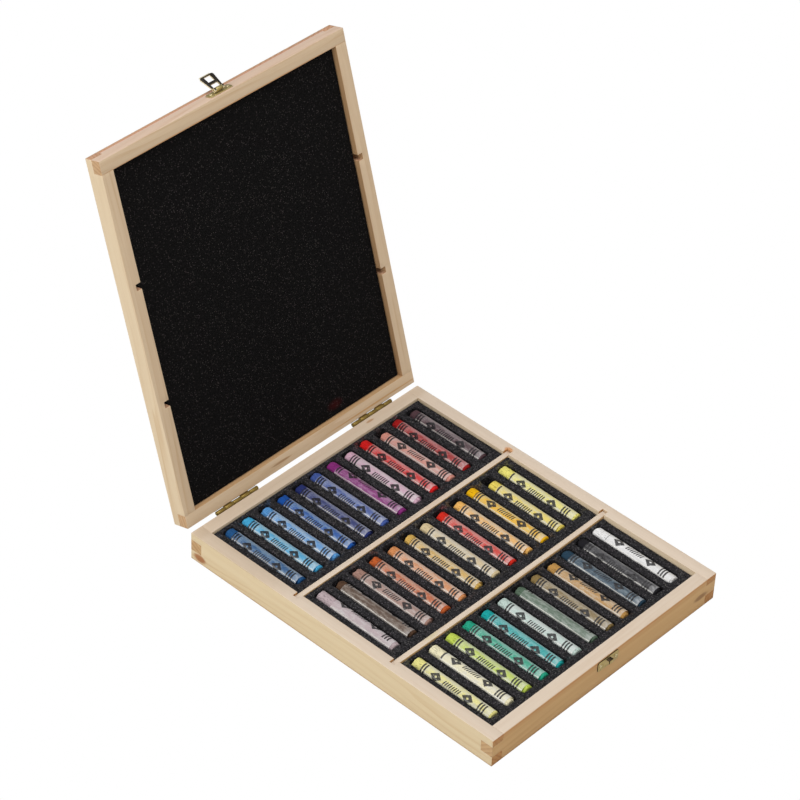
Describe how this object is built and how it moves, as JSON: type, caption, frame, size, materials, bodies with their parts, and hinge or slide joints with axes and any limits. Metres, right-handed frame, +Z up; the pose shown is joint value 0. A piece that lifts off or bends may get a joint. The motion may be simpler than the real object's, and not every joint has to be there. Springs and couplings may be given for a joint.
{
  "type": "hinged pastel box",
  "caption": "Hinged wooden box with finger-jointed base and lid, foam trays that hold soft pastel sticks in slots, brass butt hinges and a loop latch.",
  "frame": {"origin": "middle of the base's underside, on the surface that the box stands on", "axes": "+X to the right seen from the latch side, +Y from the latch side to the hinges, +Z up; stored with the lid open"},
  "size_m": [0.21, 0.358, 0.2739],
  "materials": {
    "pine_boards": "sanded, unvarnished",
    "ply_panels": "sanded, unvarnished",
    "tray_foam": "matte foam",
    "lid_foam": "matte foam",
    "brass_fittings": "satin",
    "pastel_back_01": "chalky, with a glossy paper sleeve",
    "pastel_back_02": "chalky, with a glossy paper sleeve",
    "pastel_back_03": "chalky, with a glossy paper sleeve",
    "pastel_back_04": "chalky, with a glossy paper sleeve",
    "pastel_back_05": "chalky, with a glossy paper sleeve",
    "pastel_back_06": "chalky, with a glossy paper sleeve",
    "pastel_back_07": "chalky, with a glossy paper sleeve",
    "pastel_back_08": "chalky, with a glossy paper sleeve",
    "pastel_back_09": "chalky, with a glossy paper sleeve",
    "pastel_back_10": "chalky, with a glossy paper sleeve",
    "pastel_back_11": "chalky, with a glossy paper sleeve",
    "pastel_back_12": "chalky, with a glossy paper sleeve",
    "pastel_middle_01": "chalky, with a glossy paper sleeve",
    "pastel_middle_02": "chalky, with a glossy paper sleeve",
    "pastel_middle_03": "chalky, with a glossy paper sleeve",
    "pastel_middle_04": "chalky, with a glossy paper sleeve",
    "pastel_middle_05": "chalky, with a glossy paper sleeve",
    "pastel_middle_06": "chalky, with a glossy paper sleeve",
    "pastel_middle_07": "chalky, with a glossy paper sleeve",
    "pastel_middle_08": "chalky, with a glossy paper sleeve",
    "pastel_middle_09": "chalky, with a glossy paper sleeve",
    "pastel_middle_10": "chalky, with a glossy paper sleeve",
    "pastel_middle_11": "chalky, with a glossy paper sleeve",
    "pastel_middle_12": "chalky, with a glossy paper sleeve",
    "pastel_front_01": "chalky, with a glossy paper sleeve",
    "pastel_front_02": "chalky, with a glossy paper sleeve",
    "pastel_front_03": "chalky, with a glossy paper sleeve",
    "pastel_front_04": "chalky, with a glossy paper sleeve",
    "pastel_front_05": "chalky, with a glossy paper sleeve",
    "pastel_front_06": "chalky, with a glossy paper sleeve",
    "pastel_front_07": "chalky, with a glossy paper sleeve",
    "pastel_front_08": "chalky, with a glossy paper sleeve",
    "pastel_front_09": "chalky, with a glossy paper sleeve",
    "pastel_front_10": "chalky, with a glossy paper sleeve",
    "pastel_front_11": "chalky, with a glossy paper sleeve",
    "pastel_front_12": "chalky, with a glossy paper sleeve"
  },
  "bodies": {
    "base": {"base_side_left": "pine_boards", "base_side_right": "pine_boards", "base_front_board": "pine_boards", "base_back_board": "pine_boards", "base_bottom_panel": "ply_panels", "base_dividers": "pine_boards", "foam_tray_back": "tray_foam", "foam_tray_middle": "tray_foam", "foam_tray_front": "tray_foam", "hinge_base_leaves": "brass_fittings", "hinge_pins": "brass_fittings", "base_nails": "brass_fittings", "catch_plate": "brass_fittings"},
    "lid": {"lid_side_left": "pine_boards", "lid_side_right": "pine_boards", "lid_front_board": "pine_boards", "lid_back_board": "pine_boards", "lid_panel": "ply_panels", "lid_foam": "lid_foam", "hinge_lid_leaves": "brass_fittings", "lid_nails": "brass_fittings", "latch_plate": "brass_fittings", "latch_pin": "brass_fittings"},
    "latch_loop": {"latch_loop": "brass_fittings"},
    "pastel_back_01": {"pastel_back_01": "pastel_back_01"},
    "pastel_back_02": {"pastel_back_02": "pastel_back_02"},
    "pastel_back_03": {"pastel_back_03": "pastel_back_03"},
    "pastel_back_04": {"pastel_back_04": "pastel_back_04"},
    "pastel_back_05": {"pastel_back_05": "pastel_back_05"},
    "pastel_back_06": {"pastel_back_06": "pastel_back_06"},
    "pastel_back_07": {"pastel_back_07": "pastel_back_07"},
    "pastel_back_08": {"pastel_back_08": "pastel_back_08"},
    "pastel_back_09": {"pastel_back_09": "pastel_back_09"},
    "pastel_back_10": {"pastel_back_10": "pastel_back_10"},
    "pastel_back_11": {"pastel_back_11": "pastel_back_11"},
    "pastel_back_12": {"pastel_back_12": "pastel_back_12"},
    "pastel_middle_01": {"pastel_middle_01": "pastel_middle_01"},
    "pastel_middle_02": {"pastel_middle_02": "pastel_middle_02"},
    "pastel_middle_03": {"pastel_middle_03": "pastel_middle_03"},
    "pastel_middle_04": {"pastel_middle_04": "pastel_middle_04"},
    "pastel_middle_05": {"pastel_middle_05": "pastel_middle_05"},
    "pastel_middle_06": {"pastel_middle_06": "pastel_middle_06"},
    "pastel_middle_07": {"pastel_middle_07": "pastel_middle_07"},
    "pastel_middle_08": {"pastel_middle_08": "pastel_middle_08"},
    "pastel_middle_09": {"pastel_middle_09": "pastel_middle_09"},
    "pastel_middle_10": {"pastel_middle_10": "pastel_middle_10"},
    "pastel_middle_11": {"pastel_middle_11": "pastel_middle_11"},
    "pastel_middle_12": {"pastel_middle_12": "pastel_middle_12"},
    "pastel_front_01": {"pastel_front_01": "pastel_front_01"},
    "pastel_front_02": {"pastel_front_02": "pastel_front_02"},
    "pastel_front_03": {"pastel_front_03": "pastel_front_03"},
    "pastel_front_04": {"pastel_front_04": "pastel_front_04"},
    "pastel_front_05": {"pastel_front_05": "pastel_front_05"},
    "pastel_front_06": {"pastel_front_06": "pastel_front_06"},
    "pastel_front_07": {"pastel_front_07": "pastel_front_07"},
    "pastel_front_08": {"pastel_front_08": "pastel_front_08"},
    "pastel_front_09": {"pastel_front_09": "pastel_front_09"},
    "pastel_front_10": {"pastel_front_10": "pastel_front_10"},
    "pastel_front_11": {"pastel_front_11": "pastel_front_11"},
    "pastel_front_12": {"pastel_front_12": "pastel_front_12"}
  },
  "joints": [
    {"name": "lid_hinge", "type": "hinge", "parent": "base", "child": "lid", "pos_m": [0, 0.1307, 0.0212], "axis": [-1, 0, 0], "range_deg": [-107, 0]},
    {"name": "latch_hinge", "type": "hinge", "parent": "lid", "child": "latch_loop", "pos_m": [0, 0.21246, 0.27017], "axis": [-1, 0, 0], "range_deg": [-147, 33]},
    {"name": "pastel_back_01_lift", "type": "slide", "parent": "base", "child": "pastel_back_01", "axis": [0, 0, 1], "range_m": [0, 0.05]},
    {"name": "pastel_back_02_lift", "type": "slide", "parent": "base", "child": "pastel_back_02", "axis": [0, 0, 1], "range_m": [0, 0.05]},
    {"name": "pastel_back_03_lift", "type": "slide", "parent": "base", "child": "pastel_back_03", "axis": [0, 0, 1], "range_m": [0, 0.05]},
    {"name": "pastel_back_04_lift", "type": "slide", "parent": "base", "child": "pastel_back_04", "axis": [0, 0, 1], "range_m": [0, 0.05]},
    {"name": "pastel_back_05_lift", "type": "slide", "parent": "base", "child": "pastel_back_05", "axis": [0, 0, 1], "range_m": [0, 0.05]},
    {"name": "pastel_back_06_lift", "type": "slide", "parent": "base", "child": "pastel_back_06", "axis": [0, 0, 1], "range_m": [0, 0.05]},
    {"name": "pastel_back_07_lift", "type": "slide", "parent": "base", "child": "pastel_back_07", "axis": [0, 0, 1], "range_m": [0, 0.05]},
    {"name": "pastel_back_08_lift", "type": "slide", "parent": "base", "child": "pastel_back_08", "axis": [0, 0, 1], "range_m": [0, 0.05]},
    {"name": "pastel_back_09_lift", "type": "slide", "parent": "base", "child": "pastel_back_09", "axis": [0, 0, 1], "range_m": [0, 0.05]},
    {"name": "pastel_back_10_lift", "type": "slide", "parent": "base", "child": "pastel_back_10", "axis": [0, 0, 1], "range_m": [0, 0.05]},
    {"name": "pastel_back_11_lift", "type": "slide", "parent": "base", "child": "pastel_back_11", "axis": [0, 0, 1], "range_m": [0, 0.05]},
    {"name": "pastel_back_12_lift", "type": "slide", "parent": "base", "child": "pastel_back_12", "axis": [0, 0, 1], "range_m": [0, 0.05]},
    {"name": "pastel_middle_01_lift", "type": "slide", "parent": "base", "child": "pastel_middle_01", "axis": [0, 0, 1], "range_m": [0, 0.05]},
    {"name": "pastel_middle_02_lift", "type": "slide", "parent": "base", "child": "pastel_middle_02", "axis": [0, 0, 1], "range_m": [0, 0.05]},
    {"name": "pastel_middle_03_lift", "type": "slide", "parent": "base", "child": "pastel_middle_03", "axis": [0, 0, 1], "range_m": [0, 0.05]},
    {"name": "pastel_middle_04_lift", "type": "slide", "parent": "base", "child": "pastel_middle_04", "axis": [0, 0, 1], "range_m": [0, 0.05]},
    {"name": "pastel_middle_05_lift", "type": "slide", "parent": "base", "child": "pastel_middle_05", "axis": [0, 0, 1], "range_m": [0, 0.05]},
    {"name": "pastel_middle_06_lift", "type": "slide", "parent": "base", "child": "pastel_middle_06", "axis": [0, 0, 1], "range_m": [0, 0.05]},
    {"name": "pastel_middle_07_lift", "type": "slide", "parent": "base", "child": "pastel_middle_07", "axis": [0, 0, 1], "range_m": [0, 0.05]},
    {"name": "pastel_middle_08_lift", "type": "slide", "parent": "base", "child": "pastel_middle_08", "axis": [0, 0, 1], "range_m": [0, 0.05]},
    {"name": "pastel_middle_09_lift", "type": "slide", "parent": "base", "child": "pastel_middle_09", "axis": [0, 0, 1], "range_m": [0, 0.05]},
    {"name": "pastel_middle_10_lift", "type": "slide", "parent": "base", "child": "pastel_middle_10", "axis": [0, 0, 1], "range_m": [0, 0.05]},
    {"name": "pastel_middle_11_lift", "type": "slide", "parent": "base", "child": "pastel_middle_11", "axis": [0, 0, 1], "range_m": [0, 0.05]},
    {"name": "pastel_middle_12_lift", "type": "slide", "parent": "base", "child": "pastel_middle_12", "axis": [0, 0, 1], "range_m": [0, 0.05]},
    {"name": "pastel_front_01_lift", "type": "slide", "parent": "base", "child": "pastel_front_01", "axis": [0, 0, 1], "range_m": [0, 0.05]},
    {"name": "pastel_front_02_lift", "type": "slide", "parent": "base", "child": "pastel_front_02", "axis": [0, 0, 1], "range_m": [0, 0.05]},
    {"name": "pastel_front_03_lift", "type": "slide", "parent": "base", "child": "pastel_front_03", "axis": [0, 0, 1], "range_m": [0, 0.05]},
    {"name": "pastel_front_04_lift", "type": "slide", "parent": "base", "child": "pastel_front_04", "axis": [0, 0, 1], "range_m": [0, 0.05]},
    {"name": "pastel_front_05_lift", "type": "slide", "parent": "base", "child": "pastel_front_05", "axis": [0, 0, 1], "range_m": [0, 0.05]},
    {"name": "pastel_front_06_lift", "type": "slide", "parent": "base", "child": "pastel_front_06", "axis": [0, 0, 1], "range_m": [0, 0.05]},
    {"name": "pastel_front_07_lift", "type": "slide", "parent": "base", "child": "pastel_front_07", "axis": [0, 0, 1], "range_m": [0, 0.05]},
    {"name": "pastel_front_08_lift", "type": "slide", "parent": "base", "child": "pastel_front_08", "axis": [0, 0, 1], "range_m": [0, 0.05]},
    {"name": "pastel_front_09_lift", "type": "slide", "parent": "base", "child": "pastel_front_09", "axis": [0, 0, 1], "range_m": [0, 0.05]},
    {"name": "pastel_front_10_lift", "type": "slide", "parent": "base", "child": "pastel_front_10", "axis": [0, 0, 1], "range_m": [0, 0.05]},
    {"name": "pastel_front_11_lift", "type": "slide", "parent": "base", "child": "pastel_front_11", "axis": [0, 0, 1], "range_m": [0, 0.05]},
    {"name": "pastel_front_12_lift", "type": "slide", "parent": "base", "child": "pastel_front_12", "axis": [0, 0, 1], "range_m": [0, 0.05]}
  ]
}
